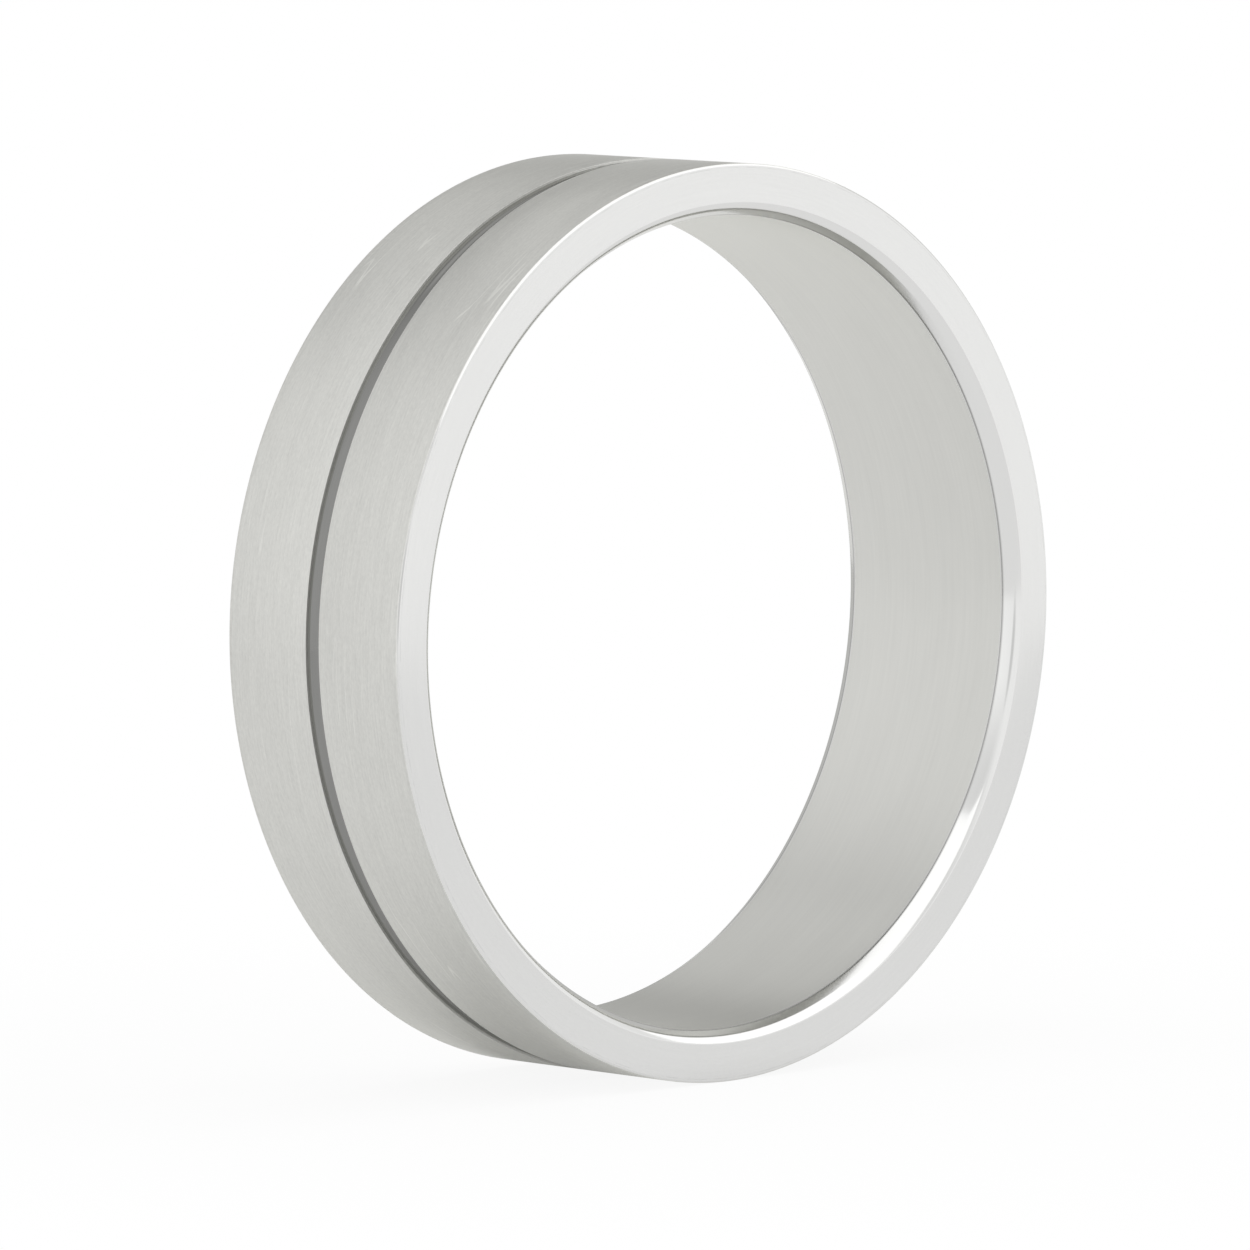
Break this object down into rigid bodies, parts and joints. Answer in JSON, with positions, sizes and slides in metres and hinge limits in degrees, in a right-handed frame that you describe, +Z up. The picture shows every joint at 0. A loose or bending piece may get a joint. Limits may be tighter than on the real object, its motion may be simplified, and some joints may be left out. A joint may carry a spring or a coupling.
{
  "type": "wedding band",
  "caption": "Flat-sided comfort-fit wedding band: brushed outer bands either side of a fine recessed grey line, over a liner with polished rounded lips.",
  "frame": {"origin": "centre of the finger hole, halfway across the band's width", "axes": "+Y along the band's axis, from the front face to the rear face; +Z up as the band stands on its rim; +X to the right"},
  "size_m": [0.0228, 0.006, 0.0228],
  "materials": {
    "brushed_band": "white metal, satin brushed round the band, flat satin on the side faces",
    "liner": "white metal, fine satin bore with polished rounded lips",
    "grey_centre": "darker grey metal, smooth and evenly polished"
  },
  "bodies": {
    "root": {"inner_sleeve": "liner", "front_outer_band": "brushed_band", "rear_outer_band": "brushed_band", "centre_ring": "grey_centre"}
  },
  "joints": []
}
